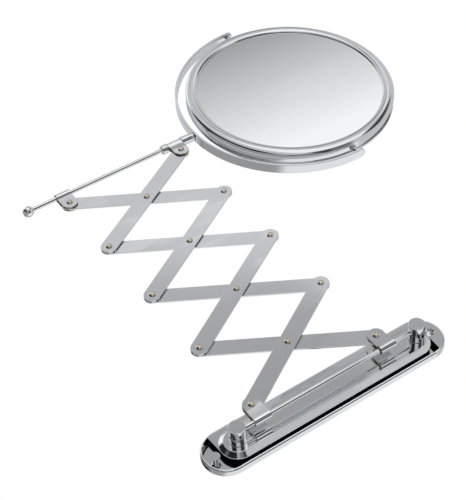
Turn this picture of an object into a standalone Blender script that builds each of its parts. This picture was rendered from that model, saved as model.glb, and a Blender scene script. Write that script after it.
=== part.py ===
"""Extendable scissor-arm shaving mirror, modelled in metres with +Z up.

The origin is the centre of the wall plate's flat back face.  The wall is the plane Y = 0
and the object stands out from it towards -Y.  The arm is shown swung aside, parallel to the
wall and reaching towards -X.
"""

import math

import bmesh
import bpy
from mathutils import Matrix, Vector

MM = 0.001

# ---- driving dimensions, in metres -------------------------------------------------------
# Clearances
GAP = 0.3 * MM                      # between pieces that touch, all round and face to face

# Wall plate: a flat flange with a raised platform, both with round ends
PLATE_LENGTH = 220.0 * MM
PLATE_WIDTH = 39.2 * MM
FLANGE_HEIGHT = 5.6 * MM            # wall to the flange's front face
FLANGE_EDGE_RADIUS = 1.6 * MM
PLATFORM_HEIGHT = 9.0 * MM          # wall to the platform's front face
PLATFORM_WIDTH = 21.7 * MM          # at its front face
PLATFORM_SLOPE_WIDTH = 3.6 * MM     # run of the slope round the platform
PLATFORM_EDGE_RADIUS = 0.7 * MM
PLATFORM_END_TO_UPPER_POST = 4.1 * MM       # upper post past the platform's round end's centre
WALL_HOLE_EDGE = 9.5 * MM           # screw hole's middle in from the plate's end
WALL_HOLE_DIAMETER = 4.5 * MM
WALL_HOLE_SINK_DIAMETER = 8.0 * MM

# Posts and the rod between them
POST_DIAMETER = 13.2 * MM
POST_LENGTH = 15.1 * MM
POST_CHAMFER = 0.4 * MM
LOWER_POST_EDGE = 29.7 * MM         # lower post's middle up from the plate's lower end
UPPER_POST_TO_CLIP = 29.37 * MM     # upper post's middle past the upper clip's middle, as shown
ROD_DIAMETER = 4.0 * MM
WALL_ROD_STANDOFF = 18.2 * MM       # wall to the rod's axis
WALL_ROD_SEAT = 2.0 * MM            # rod end past the middle of each post
POST_SCREW_DIAMETER = 4.0 * MM
POST_SCREW_GRIP = 4.6 * MM          # screw length inside the post
POST_SCREW_HEAD_DIAMETER = 7.6 * MM
POST_SCREW_HEAD_HEIGHT = 2.4 * MM
POST_SCREW_HEAD_DEPTH = 0.5 * MM    # head below the plate's back face

# Scissor arm
BAR_PITCH = 136.0 * MM              # between a bar's two end holes
BAR_WIDTH = 14.5 * MM
BAR_THICKNESS = 1.5 * MM
BAR_ANGLE = math.radians(58.56)     # of each bar from the arm's direction, as shown
UNIT_COUNT = 4
LOWER_CLIP_TO_POST = 21.5 * MM      # lower wall clip's middle above the lower post's
CLIP_REACH = 12.75 * MM             # rod axis to the clip's rivet
CLIP_SHEET = 1.4 * MM
CLIP_LENGTH = 14.0 * MM             # along the rod
RIVET_DIAMETER = 3.0 * MM
RIVET_HEAD_DIAMETER = 5.6 * MM
RIVET_HEAD_HEIGHT = 1.5 * MM

# Mirror rod and what sits on it
ROD_TAIL = 150.6 * MM               # fixed clip's middle down to the ball's middle
BALL_DIAMETER = 10.0 * MM
BALL_SOCKET_DEPTH = 4.0 * MM        # past which the rod stops short of the ball's middle
COLLAR_DIAMETER = 8.6 * MM
COLLAR_LENGTH = 6.0 * MM
SHANK_DIAMETER = 8.6 * MM
SHANK_BORE_DEPTH = 8.0 * MM
GRUB_SCREW_DIAMETER = 2.6 * MM
GRUB_SCREW_LENGTH = 1.9 * MM
GRUB_SCREW_AZIMUTH = math.radians(235)
YOKE_SCREW_DIAMETER = 2.6 * MM
YOKE_SCREW_GRIP = 2.4 * MM
YOKE_SCREW_HEAD_DIAMETER = 5.6 * MM
YOKE_SCREW_HEAD_HEIGHT = 1.6 * MM

# Yoke and mirror head
YOKE_FOOT_RISE = 20.8 * MM          # fixed clip's middle up to the yoke's outside
YOKE_CLEARANCE = 8.0 * MM           # between the head and the yoke's inside
YOKE_THICKNESS = 2.4 * MM
YOKE_WIDTH = 9.5 * MM
YOKE_END = 6.0 * MM                 # yoke beyond the tilt axis
SWIVEL_SHOWN = math.radians(2.94)
TILT_SHOWN = math.radians(-1.39)
PIVOT_PIN_DIAMETER = 4.8 * MM
PIVOT_SPIGOT_DIAMETER = 3.0 * MM
PIVOT_PIN_INSET = 0.1 * MM          # pin's end below the yoke's outside
PIVOT_SPIGOT_REACH = 1.6 * MM       # pin past the inside of the head's band
WASHER_DIAMETER = 6.4 * MM
WASHER_THICKNESS = 1.0 * MM
HEAD_RADIUS = 100.0 * MM
HEAD_THICKNESS = 16.5 * MM
HEAD_BAND_INSET = 1.1 * MM          # band's outside in from the bezels' outside
HEAD_BAND_WALL = 2.0 * MM
HEAD_BAND_WIDTH = 7.2 * MM
BEZEL_FACE_WIDTH = 10.8 * MM        # head's outside in to the edge of the glass that is seen
BEZEL_EDGE_RADIUS = 3.2 * MM
BEZEL_SHEET = 1.2 * MM
LIP_HEIGHT = 1.9 * MM               # head's front down to the glass
LIP_SLOPE_WIDTH = 1.6 * MM
LIP_EDGE = 0.5 * MM
GLASS_INSET = 4.2 * MM              # head's outside in to the glass's hidden edge
GLASS_THICKNESS = 2.0 * MM
MAGNIFIER_SPHERE_RADIUS = 760.0 * MM
SPACER_INSET = 1.0 * MM             # glass's edge in to the spacer's outside
SPACER_WALL = 2.6 * MM
PAD_INSET = 13.8 * MM               # glass's edge in to the pad's edge
PAD_THICKNESS = 0.9 * MM

# Facets
ROUND_STEPS = 24                    # small turned pieces
RING_STEPS = 64                     # the mirror head
END_STEPS = 12                      # half circle at a bar's or the plate's end

# ---- places that follow from the dimensions ----------------------------------------------
HALF_PITCH = BAR_PITCH / 2
UNIT_REACH = HALF_PITCH * math.cos(BAR_ANGLE)
UNIT_RISE = HALF_PITCH * math.sin(BAR_ANGLE)
LAYER = GAP / 2 + BAR_THICKNESS / 2
ARM_Y = -WALL_ROD_STANDOFF
LOWER_POST_Z = -PLATE_LENGTH / 2 + LOWER_POST_EDGE
LOWER_CLIP_Z = LOWER_POST_Z + LOWER_CLIP_TO_POST
UPPER_POST_Z = LOWER_CLIP_Z + 2 * UNIT_RISE + UPPER_POST_TO_CLIP
PLATFORM_LOWER_END = LOWER_POST_Z
PLATFORM_UPPER_END = UPPER_POST_Z - PLATFORM_END_TO_UPPER_POST
WALL_HOLE_HEIGHT = PLATE_LENGTH / 2 - WALL_HOLE_EDGE
ARM_Z = LOWER_CLIP_Z + UNIT_RISE
MIRROR_ROD_X = -(2 * CLIP_REACH + 2 * UNIT_COUNT * UNIT_REACH)
FIXED_CLIP_Z = ARM_Z + UNIT_RISE
CLIP_BORE_RADIUS = ROD_DIAMETER / 2 + GAP
CLIP_RADIUS = CLIP_BORE_RADIUS + CLIP_SHEET
YOKE_RADIUS = HEAD_RADIUS + YOKE_CLEARANCE + YOKE_THICKNESS
MIRROR_RISE = YOKE_RADIUS + YOKE_FOOT_RISE
SHANK_LENGTH = MIRROR_RISE - YOKE_RADIUS - CLIP_LENGTH / 2 - 2 * GAP
HEAD_BAND_RADIUS = HEAD_RADIUS - HEAD_BAND_INSET
BAND_INNER_RADIUS = HEAD_BAND_RADIUS - HEAD_BAND_WALL
WINDOW_RADIUS = HEAD_RADIUS - BEZEL_FACE_WIDTH
GLASS_RADIUS = HEAD_RADIUS - GLASS_INSET
SPACER_RADIUS = GLASS_RADIUS - SPACER_INSET
PAD_RADIUS = GLASS_RADIUS - PAD_INSET


def remove_everything():
    for item in list(bpy.data.objects):
        bpy.data.objects.remove(item, do_unlink=True)


remove_everything()
parts = bpy.data.collections.new("shaving_mirror")
cutters = bpy.data.collections.new("cutters")
bpy.context.scene.collection.children.link(parts)
bpy.context.scene.collection.children.link(cutters)


# ---- materials ---------------------------------------------------------------------------
def make_material(name, colour, metallic, roughness):
    material = bpy.data.materials.new(name)
    material.use_nodes = True
    shader = material.node_tree.nodes["Principled BSDF"]
    shader.inputs["Base Color"].default_value = (*colour, 1.0)
    shader.inputs["Metallic"].default_value = metallic
    shader.inputs["Roughness"].default_value = roughness
    material.diffuse_color = (*colour, 1.0)
    return material


CHROME = make_material("chrome_plate", (0.80, 0.81, 0.82), 1.0, 0.06)
BAR_CHROME = make_material("chromed_bar", (0.72, 0.73, 0.75), 1.0, 0.14)
RIVET_STEEL = make_material("rivet_steel", (0.62, 0.58, 0.53), 1.0, 0.25)
SCREW_STEEL = make_material("screw_steel", (0.45, 0.45, 0.46), 1.0, 0.35)
SILVERED = make_material("silvered_glass", (0.92, 0.93, 0.94), 1.0, 0.02)
NYLON = make_material("washer_nylon", (0.75, 0.74, 0.70), 0.0, 0.5)
FOAM = make_material("pad_foam", (0.12, 0.12, 0.13), 0.0, 0.9)


# ---- building blocks ---------------------------------------------------------------------
def keep(item, name, material, parent=None, sharp=math.radians(35)):
    """Name a finished mesh object, give it its material and file it with the parts."""
    item.name = name
    item.data.name = name
    item.data.materials.clear()
    item.data.materials.append(material)
    item.data.shade_smooth()
    item.data.set_sharp_from_angle(angle=sharp)
    if item.name not in parts.objects:
        parts.objects.link(item)
    if parent:
        item.parent = parent
    return item


def as_cutter(item, name):
    item.name = name
    item.hide_render = True
    item.display_type = "WIRE"
    cutters.objects.link(item)
    return item


def mesh_object(bm, name):
    bmesh.ops.recalc_face_normals(bm, faces=bm.faces)
    mesh = bpy.data.meshes.new(name)
    bm.to_mesh(mesh)
    bm.free()
    return bpy.data.objects.new(name, mesh)


def circle(radius, centre=(0.0, 0.0), steps=ROUND_STEPS):
    return [(centre[0] + radius * math.cos(2 * math.pi * k / steps),
             centre[1] + radius * math.sin(2 * math.pi * k / steps)) for k in range(steps)]


def arc(radius, start, end, steps, centre=(0.0, 0.0)):
    angles = [start + (end - start) * k / steps for k in range(steps + 1)]
    return [(centre[0] + radius * math.cos(a), centre[1] + radius * math.sin(a)) for a in angles]


def stadium(radius, low, high, steps=END_STEPS):
    """Outline with round ends, long along the second coordinate."""
    return (arc(radius, 0.0, math.pi, steps, (0.0, high))
            + arc(radius, math.pi, 2 * math.pi, steps, (0.0, low)))


def flat_piece(outlines, thickness, name):
    """A flat outline, with any holes, as a mesh of the given thickness about its own plane."""
    curve = bpy.data.curves.new(name, "CURVE")
    curve.dimensions = "2D"
    curve.fill_mode = "BOTH"
    curve.extrude = thickness / 2
    for outline in outlines:
        spline = curve.splines.new("POLY")
        spline.points.add(len(outline) - 1)
        for point, (x, y) in zip(spline.points, outline):
            point.co = (x, y, 0.0, 1.0)
        spline.use_cyclic_u = True
    guide = bpy.data.objects.new(name, curve)
    bpy.context.scene.collection.objects.link(guide)
    bpy.context.view_layer.update()
    evaluated = guide.evaluated_get(bpy.context.evaluated_depsgraph_get())
    mesh = bpy.data.meshes.new_from_object(evaluated)
    bm = bmesh.new()
    bm.from_mesh(mesh)
    bmesh.ops.remove_doubles(bm, verts=bm.verts, dist=0.005 * MM)
    piece = mesh_object(bm, name)
    piece.matrix_world = guide.matrix_world
    bpy.data.objects.remove(guide, do_unlink=True)
    bpy.data.curves.remove(curve)
    bpy.data.meshes.remove(mesh)
    return piece


def cylinder(radius, depth, name, steps=ROUND_STEPS, top_radius=None):
    """A cylinder or cone along its own Z, from -depth/2 to depth/2."""
    bm = bmesh.new()
    bmesh.ops.create_cone(bm, cap_ends=True, segments=steps, radius1=radius,
                          radius2=radius if top_radius is None else top_radius, depth=depth)
    return mesh_object(bm, name)


def turned(profile, name, steps=ROUND_STEPS):
    """Turn a profile of (radius, height) points, outer side top to bottom, about Z."""
    mesh = bpy.data.meshes.new(name)
    rows = list(range(len(profile)))
    closed = profile[0][0] > 0 or profile[-1][0] > 0
    edges = [(k, k + 1) for k in rows[:-1]] + ([(rows[-1], 0)] if closed else [])
    mesh.from_pydata([(r, 0.0, z) for r, z in profile], edges, [])
    piece = bpy.data.objects.new(name, mesh)
    screw = piece.modifiers.new("turn", "SCREW")
    screw.steps = steps
    screw.render_steps = steps
    screw.use_merge_vertices = True
    screw.merge_threshold = 0.001 * MM
    return piece


def place(item, location=(0.0, 0.0, 0.0), rotation=(0.0, 0.0, 0.0)):
    item.location = location
    item.rotation_euler = rotation
    return item


def boolean(item, other, operation, name):
    modifier = item.modifiers.new(name, "BOOLEAN")
    modifier.operation = operation
    modifier.solver = "EXACT"
    modifier.object = other


def empty(name, location, rotation=(0.0, 0.0, 0.0), parent=None):
    item = bpy.data.objects.new(name, None)
    item.empty_display_size = 0.01
    item.location = location
    item.rotation_euler = rotation
    parts.objects.link(item)
    item.parent = parent
    return item


FACE_WALL = (math.pi / 2, 0.0, 0.0)     # turns a piece's own +Z to world -Y, its Y to world Z
ALONG_X = (0.0, math.pi / 2, 0.0)


# ---- wall plate, posts and rod ------------------------------------------------------------
def plate_sections():
    """The plate's outline at each height above the wall: radius, height, low and high ends."""
    outer = PLATE_WIDTH / 2
    end = PLATE_LENGTH / 2 - outer
    top = PLATFORM_WIDTH / 2
    rows = [(outer, 0.0, -end, end)]
    for k in range(4):
        angle = math.pi / 2 * k / 3
        rows.append((outer - FLANGE_EDGE_RADIUS * (1 - math.cos(angle)),
                     FLANGE_HEIGHT - FLANGE_EDGE_RADIUS * (1 - math.sin(angle)), -end, end))
    platform = (PLATFORM_LOWER_END, PLATFORM_UPPER_END)
    rows.append((top + PLATFORM_SLOPE_WIDTH, FLANGE_HEIGHT, *platform))
    for k in range(4):
        angle = math.pi / 2 * k / 3
        rows.append((top - PLATFORM_EDGE_RADIUS * (1 - math.cos(angle)),
                     PLATFORM_HEIGHT - PLATFORM_EDGE_RADIUS * (1 - math.sin(angle)), *platform))
    return rows


def make_wall_plate():
    bm = bmesh.new()
    rings = []
    for radius, height, low, high in plate_sections():
        outline = stadium(radius, low, high)
        rings.append([bm.verts.new((x, z, height)) for x, z in outline])
    count = len(rings[0])
    for lower, upper in zip(rings, rings[1:]):
        for k in range(count):
            following = (k + 1) % count
            bm.faces.new((lower[k], lower[following], upper[following], upper[k]))
    bm.faces.new(list(reversed(rings[0])))
    bm.faces.new(rings[-1])
    plate = place(mesh_object(bm, "wall_plate"), rotation=FACE_WALL)
    clear = 1.0 * MM
    for side in (-1, 1):
        z = side * WALL_HOLE_HEIGHT
        hole = cylinder(WALL_HOLE_DIAMETER / 2, FLANGE_HEIGHT + 2 * clear, "wall_hole", 16)
        as_cutter(place(hole, (0, -FLANGE_HEIGHT / 2, z), FACE_WALL), f"wall_hole_{side}")
        boolean(plate, hole, "DIFFERENCE", f"hole {side}")
        run = (WALL_HOLE_SINK_DIAMETER - WALL_HOLE_DIAMETER) / 2
        sink = cylinder(WALL_HOLE_DIAMETER / 2 - 0.2 * MM, run + 0.4 * MM, "sink", ROUND_STEPS,
                        WALL_HOLE_SINK_DIAMETER / 2 + 0.2 * MM)
        as_cutter(place(sink, (0, -FLANGE_HEIGHT + run / 2, z), FACE_WALL), f"wall_sink_{side}")
        boolean(plate, sink, "DIFFERENCE", f"sink {side}")
    for label, z in (("lower", LOWER_POST_Z), ("upper", UPPER_POST_Z)):
        hole = cylinder(POST_SCREW_DIAMETER / 2 + GAP, PLATFORM_HEIGHT + 2 * clear, "screw_hole", 16)
        as_cutter(place(hole, (0, -PLATFORM_HEIGHT / 2, z), FACE_WALL), f"{label}_screw_hole")
        boolean(plate, hole, "DIFFERENCE", f"{label} screw hole")
        depth = POST_SCREW_HEAD_DEPTH + POST_SCREW_HEAD_HEIGHT + GAP + clear
        bore = cylinder(POST_SCREW_HEAD_DIAMETER / 2 + GAP, depth, "screw_bore")
        as_cutter(place(bore, (0, clear - depth / 2, z), FACE_WALL), f"{label}_screw_bore")
        boolean(plate, bore, "DIFFERENCE", f"{label} screw bore")
    keep(plate, "wall_plate", CHROME)


def make_post(name, z, inward):
    """A turned post; the rod's blind cross hole opens on the side that faces the other post."""
    radius = POST_DIAMETER / 2
    half = POST_LENGTH / 2
    profile = [(0.0, half), (radius - POST_CHAMFER, half), (radius, half - POST_CHAMFER),
               (radius, -half), (0.0, -half)]
    post = turned(profile, name, 32)
    foot = PLATFORM_HEIGHT + GAP
    place(post, (0, -(foot + half), z), FACE_WALL)
    bore_depth = POST_SCREW_GRIP + GAP
    bore = cylinder(POST_SCREW_DIAMETER / 2 + GAP, bore_depth + 1 * MM, "post_screw_bore", 16)
    as_cutter(place(bore, (0, -(foot + bore_depth / 2 - 0.5 * MM), z), FACE_WALL), f"{name}_bore")
    boolean(post, bore, "DIFFERENCE", "screw bore")
    seat = WALL_ROD_SEAT + GAP
    length = radius + seat + 1 * MM
    cross = cylinder(ROD_DIAMETER / 2 + GAP, length, "rod_seat", 20)
    as_cutter(place(cross, (0, ARM_Y, z + inward * (length / 2 - seat))), f"{name}_rod_seat")
    boolean(post, cross, "DIFFERENCE", "rod seat")
    keep(post, name, CHROME)


def make_post_screw(name, z):
    head = POST_SCREW_HEAD_DIAMETER / 2
    neck = POST_SCREW_DIAMETER / 2
    start = POST_SCREW_HEAD_DEPTH
    under = start + POST_SCREW_HEAD_HEIGHT
    tip = PLATFORM_HEIGHT + GAP + POST_SCREW_GRIP
    profile = [(0.0, tip), (neck, tip), (neck, under), (head, under), (head, start), (0.0, start)]
    keep(place(turned(profile, name, 16), (0, 0, z), FACE_WALL), name, SCREW_STEEL)


def make_wall_rod():
    low = LOWER_POST_Z - WALL_ROD_SEAT
    high = UPPER_POST_Z + WALL_ROD_SEAT
    rod = cylinder(ROD_DIAMETER / 2, high - low, "wall_rod", 20)
    keep(place(rod, (0, ARM_Y, (low + high) / 2)), "wall_rod", CHROME)


# ---- scissor arm ---------------------------------------------------------------------------
def pivot(column, row):
    """Place of a pivot: column counts half units out from the wall, row is -1, 0 or 1."""
    return Vector((-(CLIP_REACH + column * UNIT_REACH), ARM_Y, ARM_Z + row * UNIT_RISE))


def make_bar(name, centre, slope, layer):
    """A flat bar with three holes; slope is its angle from world +X, seen from the front."""
    outline = stadium(BAR_WIDTH / 2, -HALF_PITCH, HALF_PITCH)
    holes = [circle(RIVET_DIAMETER / 2 + GAP, (0.0, y), 16) for y in (-HALF_PITCH, 0, HALF_PITCH)]
    bar = flat_piece([outline] + holes, BAR_THICKNESS, name)
    turn = Matrix.Rotation(math.pi / 2, 4, "X") @ Matrix.Rotation(slope - math.pi / 2, 4, "Z")
    offset = Vector((0.0, layer * LAYER, 0.0))
    bar.matrix_world = Matrix.Translation(centre + offset) @ turn
    keep(bar, name, BAR_CHROME)


def dome(radius, height, steps):
    """Profile of a low domed head, from its crown down to its rim."""
    sphere = (radius ** 2 + height ** 2) / (2 * height)
    spread = math.asin(radius / sphere)
    return [(sphere * math.sin(spread * k / steps), sphere * (math.cos(spread * k / steps) - 1))
            for k in range(steps + 1)]


def make_rivet(name, place_at, front, back):
    """A two-headed rivet; front and back are its heads' undersides, measured along +Y."""
    shaft = RIVET_DIAMETER / 2
    crown = dome(RIVET_HEAD_DIAMETER / 2, RIVET_HEAD_HEIGHT, 3)
    upper = [(r, -front + RIVET_HEAD_HEIGHT + z) for r, z in crown]
    lower = [(r, -back - RIVET_HEAD_HEIGHT - z) for r, z in reversed(crown)]
    profile = upper + [(shaft, -front), (shaft, -back)] + lower
    keep(place(turned(profile, name, 16), place_at, FACE_WALL), name, RIVET_STEEL)


def make_arm():
    skin = GAP / 2 + BAR_THICKNESS + GAP
    for unit in range(1, UNIT_COUNT + 1):
        column = 2 * (UNIT_COUNT - unit) + 1
        centre = pivot(column, 0)
        make_bar(f"front_bar_{unit}", centre, math.pi - BAR_ANGLE, -1)
        make_bar(f"rear_bar_{unit}", centre, BAR_ANGLE, 1)
        make_rivet(f"centre_rivet_{unit}", centre, -skin, skin)
        if unit < UNIT_COUNT:
            make_rivet(f"upper_tip_rivet_{unit}", pivot(column - 1, 1), -skin, skin)
            make_rivet(f"lower_tip_rivet_{unit}", pivot(column - 1, -1), -skin, skin)


def clip_outline(layer):
    """Section of a strap folded round the rod; its ears run along +X, one each side of a bar."""
    near = GAP / 2
    far = GAP / 2 + BAR_THICKNESS + GAP
    tip = CLIP_REACH + BAR_WIDTH
    low_in, low_out = -far, -far - CLIP_SHEET
    high_in, high_out = near, near + CLIP_SHEET
    outer, inner = CLIP_RADIUS, CLIP_BORE_RADIUS
    turn = 2 * math.pi
    outer_arc = arc(outer, turn + math.asin(low_out / outer), math.asin(high_out / outer), 26)
    inner_arc = arc(inner, math.asin(high_in / inner), turn + math.asin(low_in / inner), 22)
    outline = [(tip, low_out)] + outer_arc + [(tip, high_out), (tip, high_in)] + inner_arc
    outline.append((tip, low_in))
    return [(x, -layer * y) for x, y in outline]


def make_clip(name, rod_x, z, reach, layer):
    """A clip on a rod; reach is +1 or -1 for the side its ears are on."""
    clip = flat_piece([clip_outline(layer)], CLIP_LENGTH, name)
    plan = stadium(CLIP_LENGTH / 2, -CLIP_RADIUS - CLIP_LENGTH, CLIP_REACH)
    trim = flat_piece([plan], 4 * CLIP_RADIUS, "ear_trim")
    side = Matrix.Diagonal((reach, 1, 1, 1))
    clip.data.transform(side)
    if reach < 0:
        clip.data.flip_normals()
    place(clip, (rod_x, ARM_Y, z))
    trim.matrix_world = (Matrix.Translation((rod_x, ARM_Y, z))
                         @ Matrix.Rotation(math.pi / 2, 4, "X")
                         @ Matrix.Rotation(-reach * math.pi / 2, 4, "Z"))
    as_cutter(trim, f"{name}_ear_trim")
    boolean(clip, trim, "INTERSECT", "round ears")
    rivet_at = (rod_x + reach * CLIP_REACH, ARM_Y, z)
    hole = cylinder(RIVET_DIAMETER / 2 + GAP, 4 * CLIP_RADIUS, "ear_hole", 16)
    as_cutter(place(hole, rivet_at, FACE_WALL), f"{name}_ear_hole")
    boolean(clip, hole, "DIFFERENCE", "rivet hole")
    keep(clip, name, CHROME)
    near = GAP / 2 + CLIP_SHEET + GAP
    far = GAP / 2 + BAR_THICKNESS + GAP + CLIP_SHEET + GAP
    front, back = (-far, near) if layer < 0 else (-near, far)
    make_rivet(name.replace("clip", "clip_rivet"), rivet_at, front, back)


# ---- mirror rod, collar, shank and yoke ------------------------------------------------------
def make_grub_screw(name, parent, radius, z):
    """A headless screw in a radial hole, its face just inside the surface of its collar."""
    reach = radius - GAP / 3 - GRUB_SCREW_LENGTH / 2
    turn = Matrix.Rotation(GRUB_SCREW_AZIMUTH, 4, "Z")
    screw = cylinder(GRUB_SCREW_DIAMETER / 2, GRUB_SCREW_LENGTH, name, 16)
    spot = turn @ Vector((reach, 0.0, z))
    place(screw, spot, (0.0, math.pi / 2, GRUB_SCREW_AZIMUTH))
    keep(screw, name, SCREW_STEEL, parent)
    hole = cylinder(GRUB_SCREW_DIAMETER / 2 + GAP, radius, f"{name}_hole", 16)
    place(hole, turn @ Vector((radius / 2 + ROD_DIAMETER / 4, 0.0, z)),
          (0.0, math.pi / 2, GRUB_SCREW_AZIMUTH))
    hole.parent = parent
    return as_cutter(hole, f"{name}_hole")


def make_rod_group(swivel):
    """Pieces on the mirror rod, placed from the fixed clip's middle."""
    rod_top = CLIP_LENGTH / 2 + GAP + SHANK_BORE_DEPTH - GAP
    rod_low = -ROD_TAIL + BALL_DIAMETER / 2 - BALL_SOCKET_DEPTH
    rod = cylinder(ROD_DIAMETER / 2, rod_top - rod_low, "mirror_rod", 20)
    keep(place(rod, (0, 0, (rod_top + rod_low) / 2)), "mirror_rod", CHROME, swivel)

    ball_radius = BALL_DIAMETER / 2
    socket = ROD_DIAMETER / 2 + GAP
    edge = math.sqrt(ball_radius ** 2 - socket ** 2)
    start = math.asin(socket / ball_radius)
    steps = 10
    outside = [(ball_radius * math.sin(start + (math.pi - start) * k / steps),
                ball_radius * math.cos(start + (math.pi - start) * k / steps))
               for k in range(steps)]
    floor = rod_low + ROD_TAIL - GAP
    profile = [(0.0, floor), (socket, floor), (socket, edge)] + outside[1:] + [(0.0, -ball_radius)]
    ball = turned(profile, "end_ball", 20)
    keep(place(ball, (0, 0, -ROD_TAIL)), "end_ball", CHROME, swivel)

    bore = ROD_DIAMETER / 2 + GAP
    radius = COLLAR_DIAMETER / 2
    edge = 0.35 * MM
    half = COLLAR_LENGTH / 2
    collar = turned([(bore, half), (radius - edge, half), (radius, half - edge),
                     (radius, -half + edge), (radius - edge, -half), (bore, -half)], "stop_collar")
    collar_z = -(CLIP_LENGTH / 2 + GAP + half)
    place(collar, (0, 0, collar_z))
    boolean(collar, make_grub_screw("collar_grub_screw", swivel, radius, collar_z),
            "DIFFERENCE", "grub screw")
    keep(collar, "stop_collar", CHROME, swivel)

    radius = SHANK_DIAMETER / 2
    half = SHANK_LENGTH / 2
    top_bore = YOKE_SCREW_DIAMETER / 2 + GAP
    top_floor = half - YOKE_SCREW_GRIP - GAP
    bore_floor = -half + SHANK_BORE_DEPTH
    profile = [(0.0, top_floor), (top_bore, top_floor), (top_bore, half), (radius, half),
               (radius, -half + edge), (radius - edge, -half), (bore, -half),
               (bore, bore_floor), (0.0, bore_floor)]
    shank = turned(profile, "yoke_shank")
    shank_z = CLIP_LENGTH / 2 + GAP + half
    place(shank, (0, 0, shank_z))
    boolean(shank, make_grub_screw("shank_grub_screw", swivel, radius, shank_z - 1.0 * MM),
            "DIFFERENCE", "grub screw")
    keep(shank, "yoke_shank", CHROME, swivel)


def make_yoke(swivel):
    """A flat band bent to a half ring round the lower half of the head."""
    inner = YOKE_RADIUS - YOKE_THICKNESS
    over = (YOKE_END + YOKE_WIDTH) / YOKE_RADIUS
    outline = (arc(YOKE_RADIUS, math.pi - over, 2 * math.pi + over, 48)
               + arc(inner, 2 * math.pi + over, math.pi - over, 48))
    yoke = flat_piece([outline], YOKE_WIDTH, "yoke")
    place(yoke, (0, 0, MIRROR_RISE), FACE_WALL)
    end = YOKE_END - YOKE_WIDTH / 2
    trim = flat_piece([stadium(YOKE_WIDTH / 2, -2 * YOKE_RADIUS, end)], 3 * YOKE_RADIUS, "trim")
    trim.matrix_basis = (Matrix.Translation((0, 0, MIRROR_RISE)) @ Matrix.Rotation(math.pi / 2, 4, "Z")
                         @ Matrix.Rotation(math.pi / 2, 4, "X"))
    trim.parent = swivel
    as_cutter(trim, "yoke_end_trim")
    boolean(yoke, trim, "INTERSECT", "round ends")
    pin_hole = cylinder(PIVOT_SPIGOT_DIAMETER / 2 + GAP, 3 * YOKE_RADIUS, "pin_hole", 16)
    place(pin_hole, (0, 0, MIRROR_RISE), ALONG_X).parent = swivel
    boolean(yoke, as_cutter(pin_hole, "yoke_pin_hole"), "DIFFERENCE", "pivot holes")
    screw_hole = cylinder(YOKE_SCREW_DIAMETER / 2 + GAP, YOKE_RADIUS / 2, "screw_hole", 16)
    place(screw_hole, (0, 0, MIRROR_RISE - YOKE_RADIUS)).parent = swivel
    boolean(yoke, as_cutter(screw_hole, "yoke_screw_hole"), "DIFFERENCE", "screw hole")
    keep(yoke, "yoke", CHROME, swivel)

    head = YOKE_SCREW_HEAD_DIAMETER / 2
    neck = YOKE_SCREW_DIAMETER / 2
    sagitta = inner - math.sqrt(inner ** 2 - head ** 2)
    under = YOKE_THICKNESS + GAP + sagitta
    crown = [(r, under + YOKE_SCREW_HEAD_HEIGHT + z)
             for r, z in dome(head, YOKE_SCREW_HEAD_HEIGHT - 0.3 * MM, 4)]
    tip = -(GAP + YOKE_SCREW_GRIP)
    profile = crown + [(head, under), (neck, under), (neck, tip), (0.0, tip)]
    screw = place(turned(profile, "yoke_screw", 16), (0, 0, MIRROR_RISE - YOKE_RADIUS))
    keep(screw, "yoke_screw", SCREW_STEEL, swivel)


def make_pivot_pin(name, washer_name, swivel, side):
    """A shouldered pin fixed flush in the yoke's end, with a washer against the head's band."""
    spigot = PIVOT_SPIGOT_DIAMETER / 2
    shoulder = PIVOT_PIN_DIAMETER / 2
    outside = YOKE_RADIUS - PIVOT_PIN_INSET
    shoulder_out = YOKE_RADIUS - YOKE_THICKNESS - GAP - PIVOT_PIN_INSET
    washer_in = HEAD_BAND_RADIUS + GAP
    shoulder_in = washer_in + WASHER_THICKNESS + GAP
    tip = BAND_INNER_RADIUS - PIVOT_SPIGOT_REACH
    profile = [(0.0, outside), (spigot, outside), (spigot, shoulder_out),
               (shoulder, shoulder_out), (shoulder, shoulder_in), (spigot, shoulder_in),
               (spigot, tip), (0.0, tip)]
    turn = (0.0, side * math.pi / 2, 0.0)
    keep(place(turned(profile, name, 20), (0, 0, MIRROR_RISE), turn), name, CHROME, swivel)
    bore = spigot + GAP
    radius = WASHER_DIAMETER / 2
    ring = [(bore, washer_in + WASHER_THICKNESS), (radius, washer_in + WASHER_THICKNESS),
            (radius, washer_in), (bore, washer_in)]
    keep(place(turned(ring, washer_name, 20), (0, 0, MIRROR_RISE), turn), washer_name, NYLON, swivel)


# ---- mirror head -----------------------------------------------------------------------------
def bezel_profile():
    """Section of a bezel pressed from sheet: radius, and height towards the glass it holds."""
    front = HEAD_THICKNESS / 2
    back = HEAD_BAND_WIDTH / 2 + GAP
    foot = front - LIP_HEIGHT
    sheet = BEZEL_SHEET
    edge = BEZEL_EDGE_RADIUS
    centre = (HEAD_RADIUS - edge, front - edge)
    crest = WINDOW_RADIUS + LIP_SLOPE_WIDTH
    outside = [(crest, front)] + arc(edge, math.pi / 2, 0.0, 4, centre) + [(HEAD_RADIUS, back)]
    inside = ([(HEAD_RADIUS - sheet, back)] + arc(edge - sheet, 0.0, math.pi / 2, 3, centre)
              + [(crest + sheet / 2, front - sheet), (WINDOW_RADIUS + sheet, foot)])
    return outside + inside + [(WINDOW_RADIUS, foot), (WINDOW_RADIUS, foot + LIP_EDGE)]


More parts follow.
